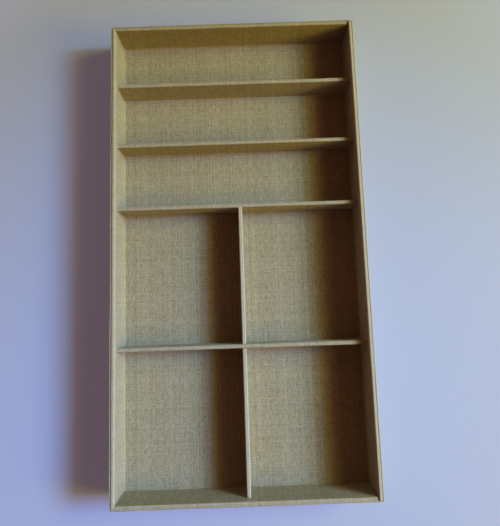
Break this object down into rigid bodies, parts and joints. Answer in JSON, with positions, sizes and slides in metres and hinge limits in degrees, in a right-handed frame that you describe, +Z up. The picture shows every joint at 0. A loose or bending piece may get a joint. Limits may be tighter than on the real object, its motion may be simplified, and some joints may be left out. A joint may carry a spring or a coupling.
{
  "type": "jewelry tray",
  "caption": "Open rectangular tray of board covered in linen cloth, with low dividers that part it into narrow and wide compartments for small jewelry.",
  "frame": {"origin": "on the surface the tray stands on, under the middle of its outline", "axes": "+X to the right and +Y to the back, towards the narrow full-width slots, with +Z up out of the open top; the tray's length is along Y and its width along X"},
  "size_m": [0.2, 0.376, 0.034],
  "materials": {
    "linen_book_cloth": "matt, woven natural linen glued over board",
    "underside_cloth": "matt, woven natural linen glued flat",
    "greyboard": "matt, uncoated grey board"
  },
  "bodies": {
    "root": {"base_board": "greyboard", "left_wall_board": "greyboard", "right_wall_board": "greyboard", "back_wall_board": "greyboard", "front_wall_board": "greyboard", "cross_divider_1_board": "greyboard", "cross_divider_2_board": "greyboard", "cross_divider_3_board": "greyboard", "cross_divider_4_board": "greyboard", "centre_divider_board": "greyboard", "left_wall_cloth": "linen_book_cloth", "right_wall_cloth": "linen_book_cloth", "back_wall_cloth": "linen_book_cloth", "front_wall_cloth": "linen_book_cloth", "cross_divider_1_cloth": "linen_book_cloth", "cross_divider_2_cloth": "linen_book_cloth", "cross_divider_3_cloth": "linen_book_cloth", "cross_divider_4_cloth": "linen_book_cloth", "centre_divider_cloth": "linen_book_cloth", "floor_lining": "linen_book_cloth", "underside_cover": "underside_cloth"}
  },
  "joints": []
}
